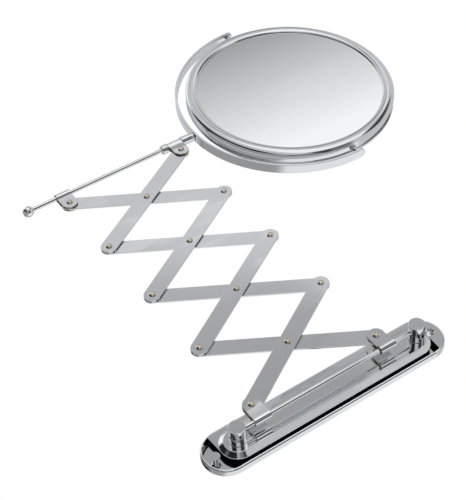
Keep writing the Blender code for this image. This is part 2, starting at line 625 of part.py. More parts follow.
def make_head(tilt):
    radius = HEAD_BAND_RADIUS
    half = HEAD_BAND_WIDTH / 2
    band = turned([(BAND_INNER_RADIUS, half), (radius, half), (radius, -half),
                   (BAND_INNER_RADIUS, -half)], "head_band", RING_STEPS)
    place(band, rotation=FACE_WALL)
    pin_hole = cylinder(PIVOT_SPIGOT_DIAMETER / 2 + GAP, 3 * radius, "band_pin_hole", 16)
    place(pin_hole, rotation=ALONG_X).parent = tilt
    boolean(band, as_cutter(pin_hole, "band_pin_hole"), "DIFFERENCE", "pivot holes")
    keep(band, "head_band", CHROME, tilt)

    section = bezel_profile()
    keep(place(turned(section, "front_bezel", RING_STEPS), rotation=FACE_WALL),
         "front_bezel", CHROME, tilt)
    flipped = (-math.pi / 2, 0.0, 0.0)
    keep(place(turned(section, "back_bezel", RING_STEPS), rotation=flipped),
         "back_bezel", CHROME, tilt)

    face = HEAD_THICKNESS / 2 - LIP_HEIGHT - GAP
    plain = cylinder(GLASS_RADIUS, GLASS_THICKNESS, "plain_glass", RING_STEPS)
    place(plain, (0, -(face - GLASS_THICKNESS / 2), 0), FACE_WALL)
    keep(plain, "plain_glass", SILVERED, tilt)

    ball = MAGNIFIER_SPHERE_RADIUS
    rim_drop = ball - math.sqrt(ball ** 2 - GLASS_RADIUS ** 2)
    steps = 4

    def hollow(r):
        return face - rim_drop + ball - math.sqrt(ball ** 2 - r ** 2)

    outer = [(GLASS_RADIUS * k / steps, hollow(GLASS_RADIUS * k / steps)) for k in range(steps + 1)]
    inner = [(r, z - GLASS_THICKNESS) for r, z in reversed(outer)]
    magnifier = turned(outer + inner, "magnifying_glass", RING_STEPS)
    keep(place(magnifier, rotation=flipped), "magnifying_glass", SILVERED, tilt)

    top = face - GLASS_THICKNESS - GAP
    bore = SPACER_RADIUS - SPACER_WALL
    foot = hollow(bore) - GLASS_THICKNESS - 2 * GAP
    spacer = turned([(bore, top), (SPACER_RADIUS, top), (SPACER_RADIUS, -foot), (bore, -foot)],
                    "glass_spacer", RING_STEPS)
    keep(place(spacer, rotation=FACE_WALL), "glass_spacer", NYLON, tilt)

    pad = cylinder(PAD_RADIUS, PAD_THICKNESS, "backing_pad", 32)
    pad_y = -(top - PAD_THICKNESS / 2)
    keep(place(pad, (0, pad_y, 0), FACE_WALL), "backing_pad", FOAM, tilt)


# ---- assembly ----------------------------------------------------------------------------------
make_wall_plate()
make_post("lower_post", LOWER_POST_Z, 1)
make_post("upper_post", UPPER_POST_Z, -1)
make_post_screw("lower_post_screw", LOWER_POST_Z)
make_post_screw("upper_post_screw", UPPER_POST_Z)
make_wall_rod()
make_arm()
make_clip("wall_clip_lower", 0.0, LOWER_CLIP_Z, -1, -1)
make_clip("wall_clip_upper", 0.0, ARM_Z + UNIT_RISE, -1, 1)
make_clip("mirror_clip_fixed", MIRROR_ROD_X, FIXED_CLIP_Z, 1, -1)
make_clip("mirror_clip_sliding", MIRROR_ROD_X, ARM_Z - UNIT_RISE, 1, 1)
swivel_axis = empty("mirror_swivel_axis", (MIRROR_ROD_X, ARM_Y, FIXED_CLIP_Z),
                    (0.0, 0.0, SWIVEL_SHOWN))
make_rod_group(swivel_axis)
make_yoke(swivel_axis)
make_pivot_pin("pivot_pin_right", "pivot_washer_right", swivel_axis, 1)
make_pivot_pin("pivot_pin_left", "pivot_washer_left", swivel_axis, -1)
tilt_axis = empty("mirror_tilt_axis", (0.0, 0.0, MIRROR_RISE), (TILT_SHOWN, 0.0, 0.0), swivel_axis)
make_head(tilt_axis)
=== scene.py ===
"""Extendable scissor-arm shaving mirror: the finished pieces, their chrome and the studio."""
import math

import bmesh
import bpy
from mathutils import Matrix, Vector


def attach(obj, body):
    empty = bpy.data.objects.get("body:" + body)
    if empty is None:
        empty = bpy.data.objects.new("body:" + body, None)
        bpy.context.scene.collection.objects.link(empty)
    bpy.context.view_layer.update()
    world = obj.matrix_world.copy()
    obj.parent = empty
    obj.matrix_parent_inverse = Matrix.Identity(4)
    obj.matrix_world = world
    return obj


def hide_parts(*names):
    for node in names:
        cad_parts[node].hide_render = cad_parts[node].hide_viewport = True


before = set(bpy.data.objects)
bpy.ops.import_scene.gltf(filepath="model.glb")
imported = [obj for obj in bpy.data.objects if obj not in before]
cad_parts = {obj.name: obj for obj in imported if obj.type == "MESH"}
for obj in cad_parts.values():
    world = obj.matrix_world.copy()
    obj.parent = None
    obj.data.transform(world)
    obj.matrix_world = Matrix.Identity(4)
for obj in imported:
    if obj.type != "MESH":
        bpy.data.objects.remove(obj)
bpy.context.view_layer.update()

MM = 0.001
TURN = 2 * math.pi

# ---- sizes shared by several pieces, in metres ------------------------------------------
GAP = 0.3 * MM
ARM_Y = -18.2 * MM                  # the plane of the scissor arm and both rods
LOWER_CLIP_Z = -58.8 * MM
HALF_PITCH = 68.0 * MM              # centre hole to end hole of a bar
BAR_ANGLE = math.radians(58.56)
BAR_WIDTH = 14.5 * MM
BAR_THICKNESS = 1.5 * MM
CLIP_REACH = 12.75 * MM             # rod axis to the clip's rivet
CLIP_SHEET = 1.4 * MM
CLIP_HALF_LENGTH = 7.0 * MM         # along its rod
STEP = HALF_PITCH * math.cos(BAR_ANGLE)
RISE = HALF_PITCH * math.sin(BAR_ANGLE)
ARM_Z = LOWER_CLIP_Z + RISE
MIRROR_X = -(2 * CLIP_REACH + 8 * STEP)
FIXED_CLIP_Z = ARM_Z + RISE
ROD_RADIUS = 2.0 * MM
SLEEVE_BORE = ROD_RADIUS + GAP       # of what sits round a rod
MIRROR_RISE = 131.2 * MM
SWIVEL = math.radians(2.94)
TILT = math.radians(-1.39)

FACE_OUT = Matrix.Rotation(math.pi / 2, 4, "X")         # a piece's own +Z becomes world -Y
CARRIER = Matrix.Translation((MIRROR_X, ARM_Y, FIXED_CLIP_Z)) @ Matrix.Rotation(SWIVEL, 4, "Z")
HEAD = CARRIER @ Matrix.Translation((0, 0, MIRROR_RISE)) @ Matrix.Rotation(TILT, 4, "X")


# ---- shader groups ----------------------------------------------------------------------
def new_group(name, inputs, outputs):
    group = bpy.data.node_groups.new(name, "ShaderNodeTree")
    for label, kind, value in inputs:
        socket = group.interface.new_socket(name=label, in_out="INPUT", socket_type=kind)
        socket.default_value = value
    for label, kind in outputs:
        group.interface.new_socket(name=label, in_out="OUTPUT", socket_type=kind)
    return group, group.nodes.new("NodeGroupInput"), group.nodes.new("NodeGroupOutput")


def add(tree, kind, **settings):
    node = tree.nodes.new(kind)
    for key, value in settings.items():
        setattr(node, key, value)
    return node


def feed(tree, source, target, name):
    tree.links.new(source, target.inputs[name])


def number(tree, operation, first, second, clamp=False):
    node = add(tree, "ShaderNodeMath", operation=operation, use_clamp=clamp)
    for slot, value in ((0, first), (1, second)):
        if isinstance(value, (int, float)):
            node.inputs[slot].default_value = value
        else:
            tree.links.new(value, node.inputs[slot])
    return node.outputs[0]


def spread(tree, value, low, high, start=0.0, end=1.0, smooth=True):
    node = add(tree, "ShaderNodeMapRange")
    node.interpolation_type = "SMOOTHSTEP" if smooth else "LINEAR"
    for label, item in (("From Min", low), ("From Max", high), ("To Min", start), ("To Max", end)):
        if isinstance(item, (int, float)):
            node.inputs[label].default_value = item
        else:
            tree.links.new(item, node.inputs[label])
    tree.links.new(value, node.inputs["Value"])
    return node.outputs["Result"]


def noise(tree, vector, scale, detail=2.0, rough=0.5):
    node = add(tree, "ShaderNodeTexNoise")
    node.inputs["Detail"].default_value = detail
    node.inputs["Roughness"].default_value = rough
    if isinstance(scale, (int, float)):
        node.inputs["Scale"].default_value = scale
    else:
        tree.links.new(scale, node.inputs["Scale"])
    tree.links.new(vector, node.inputs["Vector"])
    return node.outputs["Fac"]


def make_smear_group():
    """Wiped-on smears and the faint bloom that a wet room leaves on polished metal."""
    group, start, end = new_group(
        "wiped smears",
        [("Vector", "NodeSocketVector", (0, 0, 0)), ("Scale", "NodeSocketFloat", 40.0),
         ("Cover", "NodeSocketFloat", 0.5)],
        [("Mask", "NodeSocketFloat"), ("Cloud", "NodeSocketFloat")])
    stretch = add(group, "ShaderNodeMapping")
    stretch.inputs["Rotation"].default_value = (0.3, 0.5, 0.9)
    stretch.inputs["Scale"].default_value = (1.0, 1.0, 0.25)
    feed(group, start.outputs["Vector"], stretch, "Vector")
    cloud = noise(group, stretch.outputs["Vector"], start.outputs["Scale"], 4.0, 0.6)
    edge = number(group, "SUBTRACT", 1.0, start.outputs["Cover"])
    mask = spread(group, cloud, number(group, "MULTIPLY", edge, 0.8), edge)
    feed(group, mask, end, "Mask")
    feed(group, cloud, end, "Cloud")
    return group


def make_spot_group():
    """Small dried water spots and dust, as a mask with soft rims."""
    group, start, end = new_group(
        "dried spots",
        [("Vector", "NodeSocketVector", (0, 0, 0)), ("Scale", "NodeSocketFloat", 300.0),
         ("Size", "NodeSocketFloat", 0.2)],
        [("Mask", "NodeSocketFloat")])
    cells = add(group, "ShaderNodeTexVoronoi", feature="F1")
    feed(group, start.outputs["Vector"], cells, "Vector")
    feed(group, start.outputs["Scale"], cells, "Scale")
    near = spread(group, cells.outputs["Distance"], start.outputs["Size"],
                  number(group, "MULTIPLY", start.outputs["Size"], 0.5))
    pick = add(group, "ShaderNodeSeparateColor")
    feed(group, cells.outputs["Color"], pick, "Color")
    few = spread(group, pick.outputs["Red"], 0.80, 0.86)
    feed(group, number(group, "MULTIPLY", near, few), end, "Mask")
    return group


def make_line_group():
    """Fine polishing lines that run along the piece's own Z after its mapping."""
    group, start, end = new_group(
        "polishing lines",
        [("Vector", "NodeSocketVector", (0, 0, 0)), ("Scale", "NodeSocketFloat", 4000.0)],
        [("Height", "NodeSocketFloat"), ("Tone", "NodeSocketFloat")])
    squeeze = add(group, "ShaderNodeMapping")
    squeeze.inputs["Scale"].default_value = (1.0, 1.0, 0.02)
    feed(group, start.outputs["Vector"], squeeze, "Vector")
    fine = noise(group, squeeze.outputs["Vector"], start.outputs["Scale"], 3.0, 0.6)
    broad = noise(group, squeeze.outputs["Vector"],
                  number(group, "MULTIPLY", start.outputs["Scale"], 0.12), 2.0, 0.5)
    feed(group, fine, end, "Height")
    feed(group, broad, end, "Tone")
    return group


SMEARS = make_smear_group()
SPOTS = make_spot_group()
LINES = make_line_group()


def use_group(tree, group, vector, **values):
    node = add(tree, "ShaderNodeGroup", node_tree=group)
    feed(tree, vector, node, "Vector")
    for label, value in values.items():
        node.inputs[label].default_value = value
    return node


def plated_metal(name, colour, dull, roughness, worn=0.10, grain=0.006, smear_scale=35.0,
                 wave=0.0):
    """Plated or bare metal: smears and spots in colour and gloss, and fine lines in the normal."""
    material = bpy.data.materials.new(name)
    material.use_nodes = True
    tree = material.node_tree
    shader = tree.nodes["Principled BSDF"]
    shader.inputs["Metallic"].default_value = 1.0
    place = add(tree, "ShaderNodeTexCoord").outputs["Object"]
    smears = use_group(tree, SMEARS, place, Scale=smear_scale, Cover=0.5)
    spots = use_group(tree, SPOTS, place, Scale=420.0, Size=0.16)
    lines = use_group(tree, LINES, place, Scale=2600.0)
    tone = add(tree, "ShaderNodeMix", data_type="RGBA")
    tone.inputs["A"].default_value = (*colour, 1.0)
    tone.inputs["B"].default_value = (*dull, 1.0)
    marks = number(tree, "ADD", number(tree, "MULTIPLY", smears.outputs["Mask"], 0.45),
                   number(tree, "MULTIPLY", spots.outputs["Mask"], 0.35))
    streaks = number(tree, "MULTIPLY", lines.outputs["Tone"], 0.25)
    feed(tree, number(tree, "ADD", marks, streaks, clamp=True), tone, "Factor")
    feed(tree, tone.outputs["Result"], shader, "Base Color")
    gloss = spread(tree, marks, 0.0, 0.8, roughness, roughness + worn, smooth=False)
    feed(tree, number(tree, "ADD", gloss, number(tree, "MULTIPLY", lines.outputs["Tone"],
                                                 roughness * 0.4)), shader, "Roughness")
    swell = noise(tree, place, 55.0, 1.0)
    height = number(tree, "ADD", number(tree, "MULTIPLY", lines.outputs["Height"], grain),
                    number(tree, "MULTIPLY", swell, wave))
    bump = add(tree, "ShaderNodeBump")
    bump.inputs["Strength"].default_value = 0.2
    bump.inputs["Distance"].default_value = 0.001
    feed(tree, height, bump, "Height")
    feed(tree, bump.outputs["Normal"], shader, "Normal")
    return material


CHROME = plated_metal("polished_chrome", (0.86, 0.87, 0.88), (0.74, 0.76, 0.78), 0.03)
BAR_CHROME = plated_metal("strip_chrome", (0.84, 0.85, 0.87), (0.74, 0.76, 0.78), 0.05,
                          grain=0.008, wave=0.02)
RIM_CHROME = plated_metal("bezel_chrome", (0.86, 0.87, 0.89), (0.76, 0.78, 0.80), 0.04)
RIVET_STEEL = plated_metal("rivet_head_steel", (0.84, 0.77, 0.66), (0.60, 0.52, 0.40), 0.05,
                           smear_scale=300.0, grain=0.02)
CUT_EDGE = plated_metal("raw_cut_edge", (0.62, 0.52, 0.34), (0.30, 0.26, 0.20), 0.30,
                        smear_scale=500.0, grain=0.05)
SCREW_STEEL = plated_metal("screw_steel", (0.52, 0.52, 0.53), (0.32, 0.31, 0.31), 0.28,
                           smear_scale=300.0, grain=0.03)
SILVERED = plated_metal("silvered_glass", (0.93, 0.94, 0.945), (0.88, 0.89, 0.90), 0.004,
                        worn=0.02, grain=0.0, smear_scale=14.0)


def plain_stuff(name, colour, second, roughness, scale):
    """Moulded or foamed plastic with mottled colour and a fine pitted surface."""
    material = bpy.data.materials.new(name)
    material.use_nodes = True
    tree = material.node_tree
    shader = tree.nodes["Principled BSDF"]
    place = add(tree, "ShaderNodeTexCoord").outputs["Object"]
    cloud = noise(tree, place, scale, 4.0, 0.6)
    tone = add(tree, "ShaderNodeMix", data_type="RGBA")
    tone.inputs["A"].default_value = (*colour, 1.0)
    tone.inputs["B"].default_value = (*second, 1.0)
    feed(tree, cloud, tone, "Factor")
    feed(tree, tone.outputs["Result"], shader, "Base Color")
    feed(tree, spread(tree, cloud, 0.3, 0.7, roughness, roughness + 0.15), shader, "Roughness")
    bump = add(tree, "ShaderNodeBump")
    bump.inputs["Strength"].default_value = 0.3
    bump.inputs["Distance"].default_value = 0.0002
    feed(tree, noise(tree, place, scale * 6, 2.0), bump, "Height")
    feed(tree, bump.outputs["Normal"], shader, "Normal")
    return material


NYLON = plain_stuff("washer_nylon", (0.80, 0.79, 0.75), (0.70, 0.68, 0.63), 0.40, 600.0)
FOAM = plain_stuff("pad_foam", (0.05, 0.05, 0.055), (0.10, 0.10, 0.11), 0.85, 400.0)


# ---- making and finishing pieces ---------------------------------------------------------
def finish_piece(bm, name, material, body, stands_for=(), matrix=None,
                 sharp=math.radians(40)):
    """Puts a mesh in its place, gives it its material and its body, and hides the CAD piece."""
    if matrix is not None:
        bmesh.ops.transform(bm, matrix=matrix, verts=bm.verts)
    bmesh.ops.recalc_face_normals(bm, faces=bm.faces)
    mesh = bpy.data.meshes.new(name)
    bm.to_mesh(mesh)
    bm.free()
    for item in material if isinstance(material, (list, tuple)) else (material,):
        mesh.materials.append(item)
    piece = bpy.data.objects.new(name, mesh)
    bpy.context.scene.collection.objects.link(piece)
    mesh.shade_smooth()
    mesh.set_sharp_from_angle(angle=sharp)
    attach(piece, body)
    if stands_for:
        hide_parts(*stands_for)
    return piece


def arc(radius, start, end, steps, centre=(0.0, 0.0)):
    return [(centre[0] + radius * math.cos(start + (end - start) * k / steps),
             centre[1] + radius * math.sin(start + (end - start) * k / steps))
            for k in range(steps + 1)]


def spun(profile, steps=64, closed=False):
    """A turned shape about Z from (radius, height) points; closed joins the profile's ends."""
    bm = bmesh.new()
    verts = [bm.verts.new((r, 0.0, z)) for r, z in profile]
    edges = [bm.edges.new(pair) for pair in zip(verts, verts[1:])]
    if closed:
        edges.append(bm.edges.new((verts[-1], verts[0])))
    bmesh.ops.spin(bm, geom=verts + edges, cent=(0, 0, 0), axis=(0, 0, 1), angle=TURN,
                   steps=steps, use_merge=True)
    bmesh.ops.remove_doubles(bm, verts=bm.verts, dist=1e-7)
    return bm


def rounded(corners, radii, steps=5):
    """An open profile through corner points, each rounded to its radius where it has one."""
    points = []
    for k, (corner, radius) in enumerate(zip(corners, radii)):
        spot = Vector(corner)
        if radius <= 0 or k in (0, len(corners) - 1):
            points.append(tuple(spot))
            continue
        before = (Vector(corners[k - 1]) - spot).normalized()
        after = (Vector(corners[k + 1]) - spot).normalized()
        half = before.angle(after) / 2
        reach = radius / math.tan(half)
        first, last = spot + before * reach, spot + after * reach
        centre = spot + (before + after).normalized() * (radius / math.sin(half))
        begin = math.atan2(first.y - centre.y, first.x - centre.x)
        sweep = math.atan2(last.y - centre.y, last.x - centre.x) - begin
        sweep = (sweep + math.pi) % TURN - math.pi
        points += arc(radius, begin, begin + sweep, steps, (centre.x, centre.y))
    return points


def solid_from(outline, low, high):
    """A flat outline in X and Y, thickened from low to high along Z by extruding its face."""
    bm = bmesh.new()
    face = bm.faces.new([bm.verts.new((x, y, low)) for x, y in outline])
    grown = bmesh.ops.extrude_face_region(bm, geom=[face])["geom"]
    bmesh.ops.translate(bm, vec=(0, 0, high - low),
                        verts=[item for item in grown if isinstance(item, bmesh.types.BMVert)])
    return bm


def bevel_edges(bm, edges, width, segments=3):
    bmesh.ops.bevel(bm, geom=list(edges), offset=width, segments=segments, profile=0.5,
                    affect="EDGES", material=-1, clamp_overlap=True)


def flat_rims(bm, axis=2):
    """The edges round the two flat faces of a thickened outline."""
    rims = []
    for edge in bm.edges:
        flats = [face for face in edge.link_faces if abs(face.normal[axis]) > 0.99]
        if len(flats) == 1 and len(edge.link_faces) == 2:
            rims.append(edge)
    return rims


def keep_flats_flat(piece):
    """Shades each flat face true, so that only the rounded edges bend a reflection."""
    weighted = piece.modifiers.new("true_flats", "WEIGHTED_NORMAL")
    weighted.mode = "FACE_AREA"
    weighted.weight = 100
    weighted.keep_sharp = True


def pivot(column, row):
    return Vector((-(CLIP_REACH + column * STEP), ARM_Y, ARM_Z + row * RISE))


# ---- wall plate, posts and wall rod --------------------------------------------------------
PLATE_HALF_WIDTH = 19.6 * MM
PLATE_END = 90.4 * MM               # middle of its round ends
FLANGE = 5.6 * MM
FLANGE_ROUND = 1.6 * MM
PLATFORM = 9.0 * MM
PLATFORM_HALF_WIDTH = 10.85 * MM
PLATFORM_SLOPE = 3.6 * MM
PLATFORM_FOOT_ROUND = 0.5 * MM
PLATFORM_EDGE_ROUND = 0.8 * MM
PLATFORM_ENDS = (-80.3 * MM, 82.5 * MM)
WALL_HOLES = (-100.5 * MM, 100.5 * MM)
SINK = ((3.9 * MM, FLANGE), (3.8 * MM, FLANGE - 0.1 * MM), (2.25 * MM, FLANGE - 1.65 * MM),
        (2.25 * MM, 0.0))           # radius and height down each wall-screw hole
POST_RADIUS = 6.6 * MM
POST_LENGTH = 15.1 * MM
POST_CROWN_ROUND = 0.5 * MM
POST_FOOT_ROUND = 0.3 * MM
LOWER_POST_Z = -80.3 * MM
UPPER_POST_Z = 86.6 * MM
WALL_ROD_SEAT = 2.0 * MM            # rod past the middle of each post


def stadium(radius, low, high, steps=40):
    return (arc(radius, 0.0, math.pi, steps, (0.0, high))
            + arc(radius, math.pi, TURN, steps, (0.0, low)))


def ring_of(bm, points):
    """A closed loop of edges through 3D points."""
    verts = [bm.verts.new(point) for point in points]
    return [bm.edges.new((verts[k - 1], verts[k])) for k in range(len(verts))]


def bridge_rows(bm, rings):
    for before, after in zip(rings, rings[1:]):
        bmesh.ops.bridge_loops(bm, edges=before + after)


def circle_at(radius, centre_z, height, steps=48):
    return [(radius * math.cos(TURN * k / steps), centre_z + radius * math.sin(TURN * k / steps),
             height) for k in range(steps)]


def make_wall_plate():
    """A flange and a raised platform with round ends, and a countersunk hole past each post."""
    outer, top = PLATE_HALF_WIDTH, PLATFORM_HALF_WIDTH
    foot = top + PLATFORM_SLOPE
    flange = rounded([(outer, 0.0), (outer, FLANGE), (foot, FLANGE)], [0, FLANGE_ROUND, 0],
                     8)[:-1]
    platform = rounded([(outer, FLANGE), (foot, FLANGE), (top, PLATFORM), (0.0, PLATFORM)],
                       [0, PLATFORM_FOOT_ROUND, PLATFORM_EDGE_ROUND, 0], 8)[1:-1]
    bm = bmesh.new()

    def rings(rows, low, high):
        return [ring_of(bm, [(x, z, height) for x, z in stadium(radius, low, high)])
                for radius, height in rows]

    sides = rings(flange, -PLATE_END, PLATE_END)
    steps = rings(platform, *PLATFORM_ENDS)
    bridge_rows(bm, sides)
    bridge_rows(bm, steps)
    mouths, backs = [], []
    for hole_z in WALL_HOLES:
        sink = [ring_of(bm, circle_at(radius, hole_z, height)) for radius, height in SINK]
        bridge_rows(bm, sink)
        mouths += sink[0]
        backs += sink[-1]
    bmesh.ops.triangle_fill(bm, edges=sides[-1] + steps[0] + mouths, use_beauty=True)
    bmesh.ops.triangle_fill(bm, edges=sides[0] + backs, use_beauty=True)
    bmesh.ops.triangle_fill(bm, edges=steps[-1], use_beauty=True)
    plate = finish_piece(bm, "wall_plate_body", CHROME, "wall_mount", ["wall_plate"], FACE_OUT)
    keep_flats_flat(plate)


def make_post(name, node, z):
    low = PLATFORM + GAP
    high = low + POST_LENGTH
    profile = rounded([(0.0, high), (POST_RADIUS, high), (POST_RADIUS, low), (0.0, low)],
                      [0, POST_CROWN_ROUND, POST_FOOT_ROUND, 0], 5)
    bm = spun(profile, 96)
    piece = finish_piece(bm, name, CHROME, "wall_mount", [node],
                         Matrix.Translation((0, 0, z)) @ FACE_OUT)
    keep_flats_flat(piece)


def make_rod(name, node, body, low, high, matrix):
    edge = 0.3 * MM
    profile = rounded([(0.0, high), (ROD_RADIUS, high), (ROD_RADIUS, low), (0.0, low)],
                      [0, edge, edge, 0], 3)
    finish_piece(spun(profile, 64), name, CHROME, body, [node], matrix)


# ---- scissor arm ----------------------------------------------------------------------------
BAR_COUNT = 4                       # in each layer, numbered from the mirror
BAR_EDGE_ROUND = 0.25 * MM
RIVET_HEAD_RADIUS = 2.8 * MM
RIVET_HEAD_HEIGHT = 1.5 * MM
RIVET_RADIUS = 1.5 * MM


def make_bar(name, body, centre, slope, layer):
    outline = stadium(BAR_WIDTH / 2, -HALF_PITCH, HALF_PITCH, 32)
    bm = solid_from(outline, -BAR_THICKNESS / 2, BAR_THICKNESS / 2)
    bmesh.ops.recalc_face_normals(bm, faces=bm.faces)
    bevel_edges(bm, flat_rims(bm), BAR_EDGE_ROUND)
    offset = Vector((0, layer * (GAP / 2 + BAR_THICKNESS / 2), 0))
    matrix = (Matrix.Translation(centre + offset) @ FACE_OUT
              @ Matrix.Rotation(slope - math.pi / 2, 4, "Z"))
    piece = finish_piece(bm, f"{name}_strip", BAR_CHROME, body, [name], matrix)
    keep_flats_flat(piece)


def make_rivet(node, body, spot, front, back):
    """A rivet with a pressed head each side: the crown, a small rolled rim and the shank."""
    head, height = RIVET_HEAD_RADIUS, RIVET_HEAD_HEIGHT
    sphere = (head ** 2 + height ** 2) / (2 * height)
    spread_angle = math.asin((head - 0.15 * MM) / sphere)
    crown = [(sphere * math.sin(spread_angle * k / 10),
              height - sphere + sphere * math.cos(spread_angle * k / 10)) for k in range(11)]
    half = crown + [(head, 0.14 * MM), (head - 0.06 * MM, 0.0), (RIVET_RADIUS, 0.0)]
    upper = [(r, -front + z) for r, z in half]
    lower = [(r, -back - z) for r, z in reversed(half)]
    matrix = Matrix.Translation(spot) @ FACE_OUT
    finish_piece(spun(upper + lower, 40), f"{node}_heads", RIVET_STEEL, body, [node], matrix)


def clip_section():
    """Section of the strap round the rod; its two ears run along +X."""
    reach = CLIP_REACH + BAR_WIDTH / 2
    bore = SLEEVE_BORE
    outer = bore + CLIP_SHEET
    low_in = -(GAP / 2 + BAR_THICKNESS + GAP)
    low_out = low_in - CLIP_SHEET
    high_in = GAP / 2
    high_out = high_in + CLIP_SHEET
    outside = arc(outer, TURN + math.asin(low_out / outer), math.asin(high_out / outer), 56)
    inside = arc(bore, math.asin(high_in / bore), TURN + math.asin(low_in / bore), 48)
    return [(reach, low_out)] + outside + [(reach, high_out), (reach, high_in)] + inside + [
        (reach, low_in)]


def make_clip(name, body, rod_x, z, reach, layer):
    """The folded strap, its ears trimmed round, with raw cut edges."""
    half = CLIP_HALF_LENGTH
    bm = solid_from([(x, -layer * y) for x, y in clip_section()], -half, half)
    bmesh.ops.recalc_face_normals(bm, faces=bm.faces)
    steps = 28
    for k in range(1, steps):
        angle = -math.pi / 2 + math.pi * k / steps
        normal = Vector((math.cos(angle), 0.0, math.sin(angle)))
        cut = bmesh.ops.bisect_plane(bm, geom=bm.verts[:] + bm.edges[:] + bm.faces[:],
                                     plane_co=Vector((CLIP_REACH, 0, 0)) + normal * half,
                                     plane_no=normal, clear_outer=True, dist=1e-8)
        rim = [item for item in cut["geom_cut"] if isinstance(item, bmesh.types.BMEdge)]
        bmesh.ops.holes_fill(bm, edges=rim)
    bmesh.ops.remove_doubles(bm, verts=bm.verts, dist=1e-7)
    bmesh.ops.recalc_face_normals(bm, faces=bm.faces)
    for face in bm.faces:
        centre = face.calc_center_median()
        rounded_end = (centre.x > CLIP_REACH and abs(face.normal.y) < 0.5)
        if abs(face.normal.z) > 0.9 or rounded_end:
            face.material_index = 1
    if reach < 0:
        bmesh.ops.scale(bm, vec=(-1, 1, 1), verts=bm.verts)
    bmesh.ops.recalc_face_normals(bm, faces=bm.faces)
    matrix = Matrix.Translation((rod_x, ARM_Y, z))
    finish_piece(bm, f"{name}_strap", (CHROME, CUT_EDGE), body, [name], matrix,
                 sharp=math.radians(30))


def make_arm():
    skin = GAP / 2 + BAR_THICKNESS + GAP
    for unit in range(1, BAR_COUNT + 1):
        column = 2 * (BAR_COUNT - unit) + 1
        centre = pivot(column, 0)
        make_bar(f"front_bar_{unit}", f"front_bar_{unit}", centre, math.pi - BAR_ANGLE, -1)
        make_bar(f"rear_bar_{unit}", f"rear_bar_{unit}", centre, BAR_ANGLE, 1)
        make_rivet(f"centre_rivet_{unit}", f"front_bar_{unit}", centre, -skin, skin)
        if unit < BAR_COUNT:
            make_rivet(f"upper_tip_rivet_{unit}", f"front_bar_{unit + 1}",
                       pivot(column - 1, 1), -skin, skin)
            make_rivet(f"lower_tip_rivet_{unit}", f"rear_bar_{unit + 1}",
                       pivot(column - 1, -1), -skin, skin)
    near = GAP / 2 + CLIP_SHEET + GAP
    far = near + BAR_THICKNESS + GAP
    clips = (("wall_clip_lower", "wall_clip_rivet_lower", 0.0, LOWER_CLIP_Z, -1, -1),
             ("wall_clip_upper", "wall_clip_rivet_upper", 0.0, ARM_Z + RISE, -1, 1),
             ("mirror_clip_fixed", "mirror_clip_rivet_fixed", MIRROR_X, FIXED_CLIP_Z, 1, -1),
             ("mirror_clip_sliding", "mirror_clip_rivet_sliding", MIRROR_X, ARM_Z - RISE, 1, 1))
    for name, rivet, rod_x, z, reach, layer in clips:
        make_clip(name, name, rod_x, z, reach, layer)
        front, back = (-far, near) if layer < 0 else (-near, far)
        make_rivet(rivet, name, Vector((rod_x + reach * CLIP_REACH, ARM_Y, z)), front, back)


# ---- mirror rod, yoke and pivots ---------------------------------------------------------------
YOKE_RADIUS = 110.4 * MM
YOKE_THICKNESS = 2.4 * MM
YOKE_WIDTH = 9.5 * MM
YOKE_END = 6.0 * MM                 # past the tilt axis
BALL_RADIUS = 5.0 * MM
BALL_SOCKET = 4.0 * MM
ROD_TAIL = 150.6 * MM               # fixed clip's middle to the ball's
SHANK_BORE_DEPTH = 8.0 * MM
COLLAR_RADIUS = 4.3 * MM            # of the collar and the shank
COLLAR_HALF_LENGTH = 3.0 * MM


def make_carrier():
    bore = SLEEVE_BORE
    ball = BALL_RADIUS
    tail = ROD_TAIL
    make_rod("mirror_rod_bar", "mirror_rod", "mirror_carrier", -tail + ball - BALL_SOCKET,
             CLIP_HALF_LENGTH + SHANK_BORE_DEPTH, CARRIER)
    start = math.asin(bore / ball)
    floor = ball - BALL_SOCKET - GAP
    mouth = math.sqrt(ball ** 2 - bore ** 2)
    profile = ([(0.0, floor), (bore, floor), (bore, mouth - 0.1 * MM)]
               + [(ball * math.sin(start + (math.pi - start) * k / 36),
                   ball * math.cos(start + (math.pi - start) * k / 36)) for k in range(36)]
               + [(0.0, -ball)])
    finish_piece(spun(profile, 64), "rod_end_ball", CHROME, "mirror_carrier", ["end_ball"],
                 CARRIER @ Matrix.Translation((0, 0, -tail)))

    low = CLIP_HALF_LENGTH + GAP
    edge = 0.45 * MM
    radius = COLLAR_RADIUS
    half = COLLAR_HALF_LENGTH
    collar = rounded([(bore, half), (radius, half), (radius, -half), (bore, -half)],
                     [0, edge, edge, 0], 4)
    finish_piece(spun(collar, 64, closed=True), "stop_collar_ring", CHROME, "mirror_carrier",
                 ["stop_collar"], CARRIER @ Matrix.Translation((0, 0, -(low + half))))
    top = MIRROR_RISE - YOKE_RADIUS - GAP
    shank = rounded([(0.0, top), (radius, top), (radius, low), (bore, low),
                     (bore, low + SHANK_BORE_DEPTH), (0.0, low + SHANK_BORE_DEPTH)],
                    [0, 0.3 * MM, edge, 0, 0, 0], 4)
    finish_piece(spun(shank, 64), "yoke_shank_body", CHROME, "mirror_carrier", ["yoke_shank"],
                 CARRIER)


